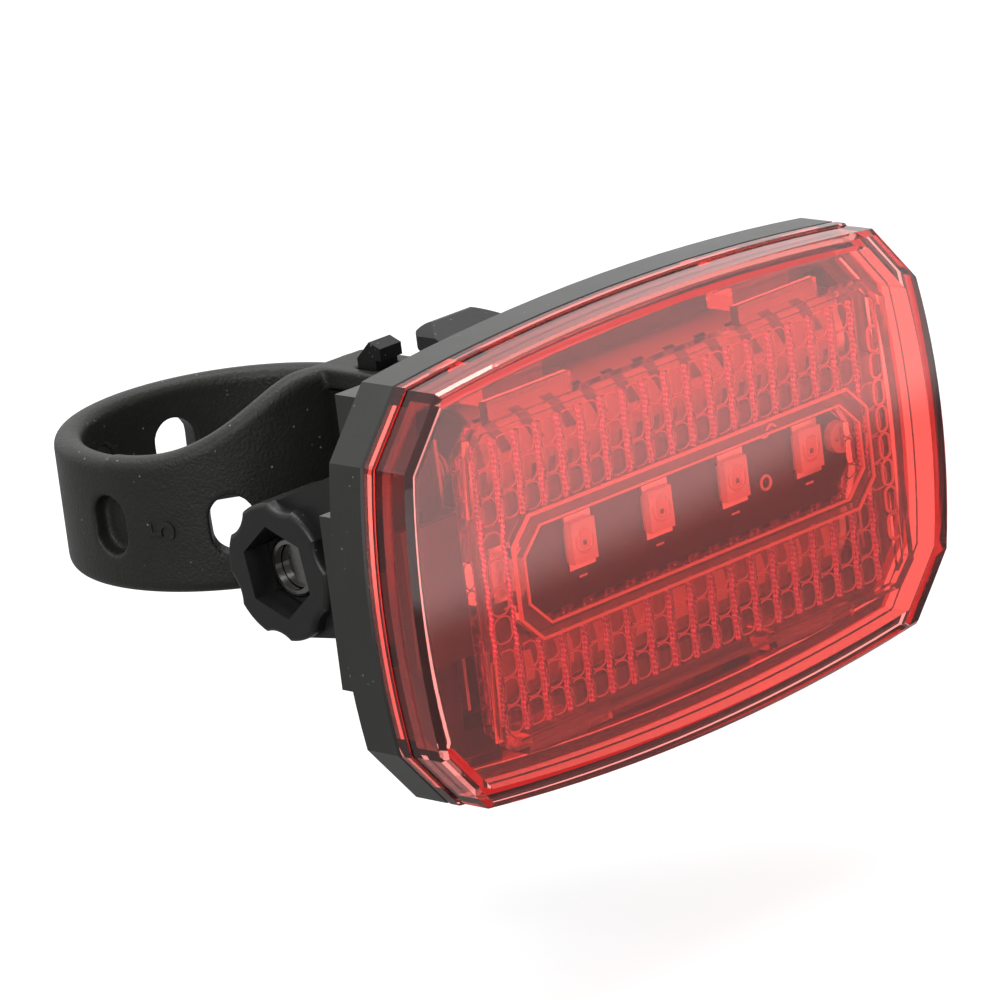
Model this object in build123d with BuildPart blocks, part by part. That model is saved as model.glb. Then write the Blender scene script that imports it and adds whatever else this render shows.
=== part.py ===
from build123d import *
import math
import os

os.makedirs("parts", exist_ok=True)

# Bicycle rear light on a rubber post strap. X runs along the light, the lens faces -Y,
# Z is up. The origin is on the post axis, half way up the strap. Lengths are millimetres.

# Lens outline: a wide pillow with cut corners, measured at its corner shoulders
lens_h = 35.5
side_bow = 1.1
top_bow = 1.6
corner_w = 4.6
corner_h = 5.5
end_margin = 2.4

# Lens section, from the front perimeter back
lens_depth = 4.75
dome_side = 0.5
dome_top = 0.5
lens_wall = 1.6
lens_front_t = 1.1
bevel = 0.5
flange_out = 0.2
flange_l = 1.1
skirt_l = 2.4
skirt_t = 1.2
cavity_margin = 2.0

# Back shell
rim_depth = 9.4
shell_out = 0.2
shell_wall = 1.5
seam_gap = 0.1
skirt_gap = 0.15
seal_t = 0.9
seal_w = 0.8
seal_gap = 0.1
snap_w = 7.0
snap_x = 15.0
snap_t = 1.0
snap_l = 3.4
notch_h = 13.4
notch_depth = 2.3
edge_round = 0.6
seam_bevel = 0.3

# Battery box and switch bay on the back of the shell
cell_d = 10.5
cell_l = 44.5
nub_d = 3.8
nub_l = 0.8
cell_pitch = 16.0
cell_gap = 0.3
cell_front_gap = 0.3
sleeve_t = 0.15
sleeve_margin = 0.8
spring_room = 4.0
spring_wire = 0.5
spring_r0 = 2.7
spring_r1 = 1.6
spring_turns = 3
contact_t = 0.35
contact_w = 7.4
contact_gap = 0.05
tail_w = 1.7
box_edge = 1.6
bay_w = 6.6
bay_h = 12.0

# Circuit board
board_t = 1.0
board_y = 4.3
board_margin = 0.6
led_count = 5
led_inset = 12.4
led_w = 2.8
led_h = 3.6
led_t = 0.8
die_d = 2.2
die_t = 0.25
die_gap = 0.02
screw_inset = 8.6
board_screw_d = 1.8
board_screw_head_d = 2.8
board_screw_head_t = 0.9
board_screw_l = 4.0
board_hole_gap = 0.15
screw_slot_depth = 0.5
boss_d = 4.6
screw_slot_w = 0.45
screw_slot_l = 1.7
chip_w = 5.0
chip_h = 3.9
chip_t = 1.4
resistor_w = 1.25
resistor_h = 2.0
resistor_t = 0.5

# Switch and button
switch_w = 6.0
switch_t = 3.4
plunger_d = 3.0
plunger_l = 0.9
button_w = 5.0
button_h = 9.0
button_corner = 2.2
button_flange_w = 0.6
button_flange_t = 0.45
button_proud = 1.3
button_round = 0.5
button_gap = 0.15
press_gap = 0.1

# Prism panel behind the lens
panel_t = 0.9
panel_y = 1.9
panel_shift = 1.7
panel_drop = 0.4
panel_side = 5.3
panel_h = 27.6
panel_corner = 2.0
panel_rim = 0.6
panel_rim_h = 0.6
panel_tab_w = 9.8
window_inset = 10.65
window_h = 8.2
window_corner = 2.2
window_rim = 1.2
window_rim_h = 0.9
rib_pitch = 2.55
rib_w = 0.7
rib_h = 0.35
rib_margin = 1.3

# Slide clip and its rails
rail_gap = 0.3
lip_t = 1.7
lip_w = 2.0
rail_wall = 1.8
run_gap = 0.2
slide_t = 2.6
slide_w = 19.6
slide_h = 13.0
stop_t = 1.4
clip_plate_t = 2.4
clip_h = 15.2
clip_foot = 10.0
neck_w = 15.2
stop_x = 5.0
stop_gap = 0.1

# Latch tongue
tongue_w = 6.8
tongue_t = 1.3
tongue_gap = 0.5
tongue_l = 6.2
root_gap = 0.15
groove_gap = 0.3
tooth_rise = 4.0
tooth_h = 1.2
tooth_w = 4.0
tooth_out = 0.9
groove_depth = 0.7
tab_w = 8.2
tab_t = 2.2
tab_reach = 6.8
tab_rise = 3.7
tab_round = 0.8
tab_arch = 1.3

# Hinge
hinge_drop = 4.8
fork_reach = 9.1
knuckle_r = 4.4
knuckle_w = 17.2
side_gap = 0.2
ear_r = 6.2
ear_out = 16.0
web_out = 14.6
ear_round = 0.5
lobe_count = 6
lobe_turn = 10.0
scallop_r = 3.2
scallop_depth = 0.55
hinge_screw_d = 4.0
hinge_bore_gap = 0.08
hinge_screw_l = 26.2
screw_head_d = 8.0
screw_head_t = 2.6
head_room = 0.3
head_wall = 3.2
nut_af = 7.0
nut_t = 3.2
nut_gap = 0.1
nut_wall = 1.2
nut_turn = 20.0
collar_d = 5.6
collar_t = 1.0
collar_round = 0.4
washer_d = 8.0
washer_t = 0.8
recess_slot_l = 4.4
recess_slot_w = 1.0
recess_depth = 1.3

# Post, strap and hook base
post_d = 27.2
strap_t = 2.6
strap_h = 12.0
strap_round = 0.9
light_rise = 3.0
hinge_gap = 0.5
hole_w = 4.0
hole_h = 5.4
hole_angles = (-136.0, 111.0, 73.0, 38.0)
blind_angle = -179.5
blind_depth = 1.7
pad_top = 12.3
pad_end_x = 1.5
pad_knee_x = -4.0
pad_mid_x = -8.3
pad_foot_x = -13.3
pad_knee_drop = 0.45
pad_mid_drop = 2.5
pad_root = 2.0
eye_w = 5.8
eye_l = 9.0
eye_t = 1.8
eye_corner = 1.4
seat_gap = 0.1
base_block_w = 14.0
base_block_up = 2.6
base_foot_gap = 0.35
gusset_w = 6.0
gusset_l = 8.0
gusset_lean = 1.6
hook_w = 2.6
hook_set = 2.4
hook_t = 2.3
hook_clear = 0.8
hook_ramp_run = 1.7
hook_ramp_rise = 1.6
hook_lip = 0.7
hook_lip_t = 1.1
hook_gap = 0.25

# Places worked out from the sizes above
box_l = cell_l + spring_room
lens_w = box_l + bay_w + 3 * shell_wall + end_margin
window_w = lens_w - 2 * window_inset
led_pitch = (lens_w - 2 * led_inset) / (led_count - 1)
screw_x = lens_w / 2 - screw_inset
board_h = cell_pitch - contact_w + 2 * tail_w
strap_in = post_d / 2
strap_out = strap_in + strap_t
light_z = light_rise
hinge_z = light_z - hinge_drop
hinge_y = -(strap_out + hinge_gap + knuckle_r)
plate_back_y = hinge_y - fork_reach
plate_front_y = plate_back_y - clip_plate_t
lip_back_y = plate_front_y - rail_gap
lip_front_y = lip_back_y - lip_t
slide_back_y = lip_front_y - run_gap
slide_front_y = slide_back_y - slide_t
box_back_y = slide_front_y - run_gap
light_depth = board_y + board_t + cell_front_gap + cell_d + cell_gap + shell_wall
lens_y = box_back_y - light_depth
front_y = lens_y - dome_side - dome_top
flange_back_y = lens_y + lens_depth
rim_back_y = lens_y + rim_depth
shell_front_y = flange_back_y + seam_gap
shell_in = shell_out - shell_wall
skirt_out = shell_in - skirt_gap
skirt_in = skirt_out - skirt_t
skirt_back_y = flange_back_y + skirt_l
cell_r = cell_d / 2
board_front_y = lens_y + board_y
board_back_y = board_front_y + board_t
cell_y = board_back_y + cell_front_gap + cell_r
cell_z = cell_pitch / 2
box_x1 = lens_w / 2 - shell_wall - end_margin
box_x0 = box_x1 - box_l
box_half_h = cell_z + cell_r + cell_gap
plunger_back_y = board_back_y + switch_t + plunger_l
flange_front_y = plunger_back_y + press_gap
bay_in_y = flange_front_y + button_flange_t + press_gap / 2
bay_back_y = bay_in_y + shell_wall
bay_x1 = box_x0 - shell_wall
bay_x0 = bay_x1 - bay_w
switch_x = (bay_x0 + bay_x1) / 2
board_half_w = lens_w / 2 + skirt_in - board_margin
slide_z0 = light_z - clip_foot
slide_z1 = slide_z0 + slide_h
clip_z0 = slide_z0
clip_z1 = clip_z0 + clip_h
rail_x0 = slide_w / 2 + run_gap
rail_x1 = rail_x0 + rail_wall
cheek_in = knuckle_w / 2 + side_gap
bore_r = hinge_screw_d / 2 + hinge_bore_gap
nut_floor_x = -(cheek_in + nut_wall)
head_seat_x = cheek_in + head_wall
eye_z = pad_top - eye_t
gusset_top = eye_z - seat_gap
tongue_z0 = slide_z1 + root_gap
tongue_front_y = box_back_y + tongue_gap
tooth_z = tongue_z0 + tooth_rise
overrun = 1.0


def facing(y):
    # plane across the light at a given y, its normal towards the lens
    return Plane(origin=(0, y, light_z), x_dir=(1, 0, 0), z_dir=(0, -1, 0))


def across(x):
    # plane square to the hinge axis at a given x
    return Plane(origin=(x, 0, 0), x_dir=(0, 1, 0), z_dir=(1, 0, 0))


def level(z):
    return Plane.XY.offset(z)


def outline(y, grow):
    # pillow outline with cut corners, on the plane at y
    a, b = lens_w / 2, lens_h / 2
    with BuildSketch(facing(y)) as s:
        with BuildLine():
            ThreePointArc((-a + corner_w, b), (0, b + top_bow), (a - corner_w, b))
            Line((a - corner_w, b), (a, b - corner_h))
            ThreePointArc((a, b - corner_h), (a + side_bow, 0), (a, -b + corner_h))
            Line((a, -b + corner_h), (a - corner_w, -b))
            ThreePointArc((a - corner_w, -b), (0, -b - top_bow), (-a + corner_w, -b))
            Line((-a + corner_w, -b), (-a, -b + corner_h))
            ThreePointArc((-a, -b + corner_h), (-a - side_bow, 0), (-a, b - corner_h))
            Line((-a, b - corner_h), (-a + corner_w, b))
        make_face()
        if grow:
            offset(amount=grow, kind=Kind.INTERSECTION, mode=Mode.REPLACE)
    return s.sketch


def dome(inset):
    # everything behind the domed front, which is curved both ways like a barrel
    front = lens_y - dome_side - dome_top + inset
    half = lens_h / 2
    reach = half + lens_wall + cavity_margin
    side_r = (lens_w / 2) ** 2 / (2 * dome_side)
    sag = dome_top * (reach / half) ** 2
    turn = math.degrees(math.asin(lens_w / 2 / side_r)) * 2 * (1 + cavity_margin / lens_h)
    with BuildPart() as body:
        with BuildSketch(Plane(origin=(0, 0, light_z), x_dir=(0, 1, 0), z_dir=(1, 0, 0))):
            with BuildLine():
                ThreePointArc((front + sag, -reach), (front, 0), (front + sag, reach))
                Polyline((front + sag, reach), (box_back_y, reach), (box_back_y, -reach),
                         (front + sag, -reach))
            make_face()
        revolve(axis=Axis((0, front + side_r, 0), (0, 0, 1)), revolution_arc=turn)
    return body.part.rotate(Axis((0, front + side_r, 0), (0, 0, 1)), -turn / 2)


def finish(builder, name):
    builder.part.label = name
    export_step(builder.part, "parts/" + name + ".step")


# Lens cover: domed front, side wall, flange against the shell and a skirt that plugs in
with BuildPart() as cavity:
    extrude(outline(flange_back_y, -lens_wall), amount=flange_back_y - front_y)
    add(dome(lens_front_t), mode=Mode.INTERSECT)

with BuildPart() as lens_cover:
    extrude(outline(flange_back_y, 0), amount=flange_back_y - front_y)
    add(dome(0), mode=Mode.INTERSECT)
    chamfer(lens_cover.faces().sort_by(Axis.Y)[0].edges(), bevel)
    extrude(outline(flange_back_y, flange_out), amount=flange_l)
    add(cavity.part, mode=Mode.SUBTRACT)
    extrude(outline(skirt_back_y, skirt_out), amount=skirt_l + flange_l)
    extrude(outline(skirt_back_y, skirt_in), amount=skirt_l + flange_l, mode=Mode.SUBTRACT)
    with BuildSketch(facing(skirt_back_y)):
        for side in (1, -1):
            with Locations(*[(x, side * (lens_h / 2 + skirt_in)) for x in (-snap_x, snap_x)]):
                Rectangle(snap_w, 2 * snap_t)
    extrude(amount=snap_l)
finish(lens_cover, "lens_cover")


# Seal ring in the rebate between shell and skirt
with BuildPart() as seal_ring:
    seal_back_y = shell_front_y + seal_t
    extrude(outline(seal_back_y, skirt_out + seal_gap + seal_w), amount=seal_t)
    extrude(outline(seal_back_y, skirt_out + seal_gap), amount=seal_t, mode=Mode.SUBTRACT)
finish(seal_ring, "seal_ring")


# Prism panel: clear plate with a rim, a framed window for the diodes, upright ribs and tabs
def cut_corner(y, w, h, corner):
    # rectangle with cut corners about the panel's middle, on the plane at y
    with BuildSketch(facing(y)) as s:
        with Locations((panel_shift, -panel_drop)):
            Rectangle(w, h)
        chamfer(s.vertices(), corner)
    return s.sketch


panel_front_y = lens_y + panel_y
panel_w = window_w + 2 * panel_side
rib_count = int((panel_w - 2 * rib_margin) / rib_pitch) + 1
rib_reach = panel_h / 2 - rib_margin
rib_start = window_h / 2 + window_rim
tab_root_z = panel_h / 2 - panel_rim
tab_end_z = lens_h / 2 + skirt_in
with BuildPart() as prism_panel:
    extrude(cut_corner(panel_front_y + panel_t, panel_w, panel_h, panel_corner), amount=panel_t)
    with BuildSketch(facing(panel_front_y + panel_t)):
        for side in (1, -1):
            with Locations(*[(x, side * (tab_root_z + tab_end_z) / 2) for x in (-snap_x, snap_x)]):
                Rectangle(panel_tab_w, tab_end_z - tab_root_z)
    extrude(amount=panel_t)
    extrude(cut_corner(panel_front_y, panel_w, panel_h, panel_corner), amount=panel_rim_h)
    extrude(cut_corner(panel_front_y, panel_w - 2 * panel_rim, panel_h - 2 * panel_rim, panel_corner),
            amount=panel_rim_h, mode=Mode.SUBTRACT)
    extrude(cut_corner(panel_front_y, window_w + 2 * window_rim, window_h + 2 * window_rim,
                       window_corner), amount=window_rim_h)
    with BuildSketch(facing(panel_front_y)):
        for side in (1, -1):
            with Locations((panel_shift, side * (rib_reach + rib_start) / 2 - panel_drop)):
                with GridLocations(rib_pitch, 0, rib_count, 1):
                    Rectangle(rib_w, rib_reach - rib_start)
    extrude(amount=rib_h)
    extrude(cut_corner(panel_front_y + panel_t, window_w, window_h, window_corner),
            amount=panel_t + window_rim_h, mode=Mode.SUBTRACT)
finish(prism_panel, "prism_panel")


# Back shell: rim, battery box, switch bay, board boss and the rails for the clip
def block(x0, x1, y0, y1, z0, z1):
    with BuildPart(Location(((x0 + x1) / 2, (y0 + y1) / 2, (z0 + z1) / 2))) as b:
        Box(x1 - x0, y1 - y0, z1 - z0)
    return b.part


def rod(x, z, y0, y1, r):
    # round bar along Y, x and z counted from the light's centre line
    with BuildPart() as b:
        with BuildSketch(facing(y1)):
            with Locations((x, z)):
                Circle(r)
        extrude(amount=y1 - y0)
    return b.part


def button_outline(y, grow):
    # upright rounded bar of the button, on the plane at y
    with BuildSketch(facing(y)) as s:
        with Locations((switch_x, 0)):
            RectangleRounded(button_w + 2 * grow, button_h + 2 * grow, button_corner + grow)
    return s.sketch


with BuildPart() as box_outside:
    add(block(box_x0 - shell_wall, box_x1 + shell_wall, rim_back_y - shell_wall, box_back_y,
              light_z - box_half_h - shell_wall, light_z + box_half_h + shell_wall))
    chamfer(box_outside.faces().sort_by(Axis.Y)[-1].edges(), box_edge)
with BuildPart() as bay_outside:
    add(block(bay_x0 - shell_wall, box_x0, rim_back_y - shell_wall, bay_back_y,
              light_z - bay_h / 2 - shell_wall, light_z + bay_h / 2 + shell_wall))
    chamfer(bay_outside.faces().sort_by(Axis.Y)[-1].edges(), edge_round)

with BuildPart() as back_shell:
    extrude(outline(rim_back_y, shell_out), amount=rim_back_y - shell_front_y)
    chamfer(back_shell.faces().sort_by(Axis.Y)[-1].edges(), edge_round)
    chamfer(back_shell.faces().sort_by(Axis.Y)[0].edges(), seam_bevel)
    add(box_outside.part)
    add(bay_outside.part)
    extrude(outline(rim_back_y - shell_wall, shell_in), amount=rim_depth, mode=Mode.SUBTRACT)
    extrude(outline(shell_front_y + seal_t + contact_gap, skirt_out + seal_gap + seal_w + contact_gap),
            amount=seal_t + overrun, mode=Mode.SUBTRACT)
    add(block(box_x0, box_x1, rim_back_y - shell_wall - overrun, box_back_y - shell_wall,
              light_z - box_half_h, light_z + box_half_h), mode=Mode.SUBTRACT)
    add(block(bay_x0, bay_x1, rim_back_y - shell_wall - overrun, bay_in_y,
              light_z - bay_h / 2, light_z + bay_h / 2), mode=Mode.SUBTRACT)
    extrude(button_outline(bay_back_y + overrun, button_gap), amount=shell_wall + 2 * overrun,
            mode=Mode.SUBTRACT)
    # board boss with its pilot hole
    add(rod(screw_x, 0, board_back_y, box_back_y - shell_wall, boss_d / 2))
    add(rod(screw_x, 0, board_back_y, board_front_y + board_screw_l + contact_gap,
            board_screw_d / 2), mode=Mode.SUBTRACT)
    # pry notch at the left end, open to the front
    add(block(-lens_w, -lens_w / 2 + shell_in, shell_front_y - overrun, flange_back_y + notch_depth,
              light_z - notch_h / 2, light_z + notch_h / 2), mode=Mode.SUBTRACT)
    # groove that the latch tooth runs in
    add(block(-tooth_w / 2 - groove_gap, tooth_w / 2 + groove_gap, box_back_y - groove_depth,
              box_back_y + overrun, light_z - lens_h, tooth_z + tooth_h + groove_gap),
        mode=Mode.SUBTRACT)
    # rails with their lips and end stops
    for side in (1, -1):
        xs = sorted((side * rail_x0, side * rail_x1))
        lips = sorted((side * (rail_x0 - lip_w), side * rail_x1))
        stops = sorted((side * stop_x, side * rail_x1))
        add(block(*xs, box_back_y - shell_wall / 2, lip_back_y, slide_z0, slide_z1 + stop_gap))
        add(block(*lips, lip_front_y, lip_back_y, slide_z0, slide_z1 + stop_gap))
        add(block(*stops, box_back_y - shell_wall / 2, lip_back_y, slide_z1 + stop_gap,
                  slide_z1 + stop_gap + stop_t))
finish(back_shell, "back_shell")


# Circuit board with its diodes, chip, resistors and screw
with BuildPart() as circuit_board:
    with BuildSketch(facing(board_back_y)):
        Rectangle(2 * board_half_w, board_h)
        with Locations((screw_x, 0)):
            Circle(board_screw_d / 2 + board_hole_gap, mode=Mode.SUBTRACT)
    extrude(amount=board_t)
finish(circuit_board, "circuit_board")

with BuildPart() as led_packages:
    with BuildSketch(facing(board_front_y)):
        with GridLocations(led_pitch, 0, led_count, 1):
            Rectangle(led_w, led_h)
    extrude(amount=led_t)
    with BuildSketch(facing(board_front_y - led_t + die_t + die_gap)):
        with GridLocations(led_pitch, 0, led_count, 1):
            Circle(die_d / 2 + die_gap)
    extrude(amount=led_t, mode=Mode.SUBTRACT)
finish(led_packages, "led_packages")

with BuildPart() as led_dies:
    with BuildSketch(facing(board_front_y - led_t + die_t)):
        with GridLocations(led_pitch, 0, led_count, 1):
            Circle(die_d / 2)
    extrude(amount=die_t)
finish(led_dies, "led_dies")

with BuildPart() as board_screw:
    add(rod(screw_x, 0, board_front_y - board_screw_head_t, board_front_y, board_screw_head_d / 2))
    add(rod(screw_x, 0, board_front_y - board_screw_head_t / 2, board_front_y + board_screw_l,
            board_screw_d / 2 - contact_gap))
    with BuildSketch(facing(board_front_y - board_screw_head_t + screw_slot_depth)):
        with Locations((screw_x, 0)):
            Rectangle(screw_slot_l, screw_slot_w)
            Rectangle(screw_slot_w, screw_slot_l)
    extrude(amount=board_screw_head_t, mode=Mode.SUBTRACT)
finish(board_screw, "board_screw")

with BuildPart() as controller_chip:
    with BuildSketch(facing(board_back_y + chip_t)):
        Rectangle(chip_w, chip_h)
    extrude(amount=chip_t)
finish(controller_chip, "controller_chip")

with BuildPart() as chip_resistors:
    with BuildSketch(facing(board_back_y + resistor_t)):
        with GridLocations(led_pitch, 0, led_count - 1, 1):
            Rectangle(resistor_w, resistor_h)
    extrude(amount=resistor_t)
finish(chip_resistors, "chip_resistors")

# Tact switch, its plunger and the rubber button over it
with BuildPart() as tact_switch:
    add(block(switch_x - switch_w / 2, switch_x + switch_w / 2, board_back_y, board_back_y + switch_t,
              light_z - switch_w / 2, light_z + switch_w / 2))
    add(rod(switch_x, 0, board_back_y + switch_t - plunger_l, board_back_y + switch_t + overrun,
            plunger_d / 2 + press_gap), mode=Mode.SUBTRACT)
finish(tact_switch, "tact_switch")

with BuildPart() as switch_plunger:
    add(rod(switch_x, 0, board_back_y + switch_t, plunger_back_y, plunger_d / 2))
finish(switch_plunger, "switch_plunger")

with BuildPart() as power_button:
    proud_y = bay_back_y + button_proud
    extrude(button_outline(proud_y, 0), amount=proud_y - flange_front_y)
    fillet(power_button.faces().sort_by(Axis.Y)[-1].edges(), button_round)
    extrude(button_outline(flange_front_y + button_flange_t, button_flange_w),
            amount=button_flange_t)
finish(power_button, "power_button")


# Cells with their sleeves, the contact plates and the cone springs
def lying(x, z):
    # plane across a cell's axis at x
    return Plane(origin=(x, cell_y, light_z + z), x_dir=(0, 1, 0), z_dir=(1, 0, 0))


def tube(x0, x1, z, outer, inner):
    # round bar or tube along X, z counted from the light's centre line
    with BuildPart() as b:
        with BuildSketch(lying(x0, z)):
            Circle(outer)
            if inner:
                Circle(inner, mode=Mode.SUBTRACT)
        extrude(amount=x1 - x0)
    return b.part


for label, z, turn in (("upper", cell_z, 1), ("lower", -cell_z, -1)):
    # the nub points right on the upper cell and left on the lower one
    tip = box_x1 - contact_t - contact_gap if turn > 0 else box_x0 + contact_t + contact_gap
    shoulder = tip - turn * nub_l
    low, high = sorted((tip - turn * cell_l, shoulder))
    nub_low, nub_high = sorted((shoulder, tip))
    sleeve = tube(low + sleeve_margin, high - sleeve_margin, z, cell_r, cell_r - sleeve_t)
    with BuildPart() as can:
        add(tube(low, high, z, cell_r, 0))
        add(sleeve, mode=Mode.SUBTRACT)
    finish(can, label + "_cell_can")
    with BuildPart() as wrap:
        add(sleeve)
    finish(wrap, label + "_cell_sleeve")
    with BuildPart() as cap:
        add(tube(nub_low, nub_high, z, nub_d / 2, 0))
    finish(cap, label + "_cell_cap")

with BuildPart() as link_contact:
    add(block(box_x1 - contact_t, box_x1, cell_y - contact_w / 2, cell_y + contact_w / 2,
              light_z - cell_z - contact_w / 2, light_z + cell_z + contact_w / 2))
finish(link_contact, "link_contact")

for label, z in (("negative_contact", cell_z), ("positive_contact", -cell_z)):
    with BuildPart() as plate:
        add(block(box_x0, box_x0 + contact_t, cell_y - contact_w / 2, cell_y + contact_w / 2,
                  light_z + z - contact_w / 2, light_z + z + contact_w / 2))
        tail_z = math.copysign(board_h / 2 - tail_w / 2, z)
        add(block(box_x0, box_x0 + contact_t, board_back_y, cell_y - contact_w / 2,
                  light_z + tail_z - tail_w / 2, light_z + tail_z + tail_w / 2))
    finish(plate, label)


spring_height = spring_room - 2 * contact_t - 3 * contact_gap - spring_wire


def coil_point(t):
    # place on the wire's middle line, t from 0 at the wide end to 1
    r = spring_r0 + (spring_r1 - spring_r0) * t
    a = 2 * math.pi * spring_turns * t
    return Vector(spring_height * t, r * math.cos(a), r * math.sin(a))


def coil_heading(t):
    r = spring_r0 + (spring_r1 - spring_r0) * t
    swing = 2 * math.pi * spring_turns
    a = swing * t
    dr = spring_r1 - spring_r0
    return Vector(spring_height, dr * math.cos(a) - r * swing * math.sin(a),
                  dr * math.sin(a) + r * swing * math.cos(a)).normalized()


def cone_spring():
    # one unbroken wire of quarter turns, each a pair of arcs that meet in one line
    steps = 4 * spring_turns
    with BuildPart() as coil:
        with BuildLine():
            for i in range(steps):
                p0, p1 = coil_point(i / steps), coil_point((i + 1) / steps)
                t0, t1 = coil_heading(i / steps), coil_heading((i + 1) / steps)
                v = p1 - p0
                a2 = 2 * (t0.dot(t1) - 1)
                b2 = -2 * v.dot(t0 + t1)
                d = abs((-b2 - math.sqrt(b2 * b2 - 4 * a2 * v.dot(v))) / (2 * a2))
                q0, q1 = p0 + t0 * d, p1 - t1 * d
                mid = (q0 + q1) / 2
                TangentArc(p0, mid, tangent=t0)
                TangentArc(mid, p1, tangent=(q1 - q0).normalized())
        with BuildSketch(Plane(origin=coil_point(0), z_dir=coil_heading(0))):
            Circle(spring_wire / 2)
        sweep()
    return coil.part


with BuildPart() as contact_springs:
    reach = contact_t + contact_gap + spring_wire / 2
    with Locations(Location((box_x0 + reach, cell_y, light_z + cell_z))):
        add(cone_spring())
    with Locations(Location((box_x1 - reach, cell_y, light_z - cell_z), (0, 0, 180))):
        add(cone_spring())
finish(contact_springs, "contact_springs")

samples = 90 * spring_turns
wire_line = [coil_point(i / samples) for i in range(samples + 1)]
turn_apart = samples // spring_turns // 2
least = min((wire_line[i] - wire_line[j]).length for i in range(samples + 1)
            for j in range(i + turn_apart, samples + 1))
print("least gap between spring turns", round(least - spring_wire, 3))


# Slide clip: plate in the rails, neck, back plate and the two hinge cheeks
def cheek_profile(x):
    with BuildSketch(across(x)) as s:
        with BuildLine():
            Polyline((plate_back_y - overrun, clip_z1), (plate_back_y, clip_z1),
                     (hinge_y, hinge_z + ear_r), (hinge_y, hinge_z - ear_r),
                     (plate_back_y, clip_z0), (plate_back_y - overrun, clip_z0), close=True)
        make_face()
        with Locations((hinge_y, hinge_z)):
            Circle(ear_r)
    return s.sketch


with BuildPart() as slide_clip:
    add(block(-slide_w / 2, slide_w / 2, slide_front_y, slide_back_y, slide_z0, slide_z1))
    add(block(-neck_w / 2, neck_w / 2, slide_back_y, plate_front_y, slide_z0, slide_z1))
    add(block(-web_out, web_out, plate_front_y, plate_back_y, clip_z0, clip_z1))
    extrude(cheek_profile(cheek_in), amount=web_out - cheek_in)
    extrude(cheek_profile(-web_out), amount=web_out - cheek_in)
    for x0, x1 in ((-ear_out, -cheek_in), (cheek_in, ear_out)):
        with BuildSketch(across(x0)):
            with Locations((hinge_y, hinge_z)):
                Circle(ear_r)
        extrude(amount=x1 - x0)
    for x0 in (-ear_out - overrun, web_out):
        with BuildSketch(across(x0)):
            with Locations((hinge_y, hinge_z)):
                with PolarLocations(ear_r + scallop_r - scallop_depth, lobe_count,
                                    start_angle=lobe_turn + 180 / lobe_count):
                    Circle(scallop_r)
        extrude(amount=ear_out + overrun - web_out, mode=Mode.SUBTRACT)
    rims = [slide_clip.faces().sort_by(Axis.X)[k].edges() for k in (0, -1)]
    fillet(rims[0] + rims[1], ear_round)
    with BuildSketch(across(-ear_out - overrun)):
        with Locations((hinge_y, hinge_z)):
            RegularPolygon(nut_af / 2 + nut_gap, 6, major_radius=False, rotation=nut_turn)
    extrude(amount=ear_out + overrun + nut_floor_x, mode=Mode.SUBTRACT)
    with BuildSketch(across(head_seat_x)):
        with Locations((hinge_y, hinge_z)):
            Circle(screw_head_d / 2 + head_room)
    extrude(amount=ear_out, mode=Mode.SUBTRACT)
    with BuildSketch(across(-ear_out)):
        with Locations((hinge_y, hinge_z)):
            Circle(bore_r)
    extrude(amount=2 * ear_out, mode=Mode.SUBTRACT)
finish(slide_clip, "slide_clip")

# Latch tongue with its tooth and the thumb tab
tongue_back_y = tongue_front_y + tongue_t
tongue_top = tongue_z0 + tongue_l
tab_top = tongue_top + tab_rise + tab_t
with BuildPart() as thumb_tab:
    with BuildSketch(across(-tab_w / 2)):
        with BuildLine():
            Polyline((tongue_back_y, tongue_top), (tongue_back_y + tab_reach, tongue_top + tab_rise),
                     (tongue_back_y + tab_reach, tab_top), (tongue_front_y, tongue_top + tab_t),
                     (tongue_front_y, tongue_top), close=True)
        make_face()
    extrude(amount=tab_w)
    fillet(thumb_tab.faces().sort_by(Axis.Y)[-1].edges(), tab_round)
    with BuildSketch(Plane(origin=(0, tongue_front_y, 0), x_dir=(1, 0, 0), z_dir=(0, -1, 0))):
        with BuildLine():
            ThreePointArc((-tab_w / 2, tab_top - tab_arch), (0, tab_top), (tab_w / 2, tab_top - tab_arch))
            Polyline((tab_w / 2, tab_top - tab_arch), (tab_w / 2, tongue_z0), (-tab_w / 2, tongue_z0),
                     (-tab_w / 2, tab_top - tab_arch))
        make_face()
    extrude(amount=-(tongue_t + tab_reach + overrun), mode=Mode.INTERSECT)

with BuildPart() as release_latch:
    with BuildSketch(across(-tongue_w / 2)):
        with BuildLine():
            Polyline((tongue_front_y, tongue_z0), (tongue_back_y, tongue_z0), (tongue_back_y, tongue_top),
                     (tongue_back_y + tab_t, tongue_top + tab_t), (tongue_front_y, tongue_top + tab_t),
                     close=True)
        make_face()
    extrude(amount=tongue_w)
    add(thumb_tab.part)
    add(block(-tooth_w / 2, tooth_w / 2, tongue_front_y - tooth_out, tongue_front_y,
              tooth_z, tooth_z + tooth_h))
finish(release_latch, "release_latch")


# Hinge screw, washer and a lock nut with its round collar
def disc(x0, x1, r):
    with BuildPart() as b:
        with BuildSketch(across(x0)):
            with Locations((hinge_y, hinge_z)):
                Circle(r)
        extrude(amount=x1 - x0)
    return b.part


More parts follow.
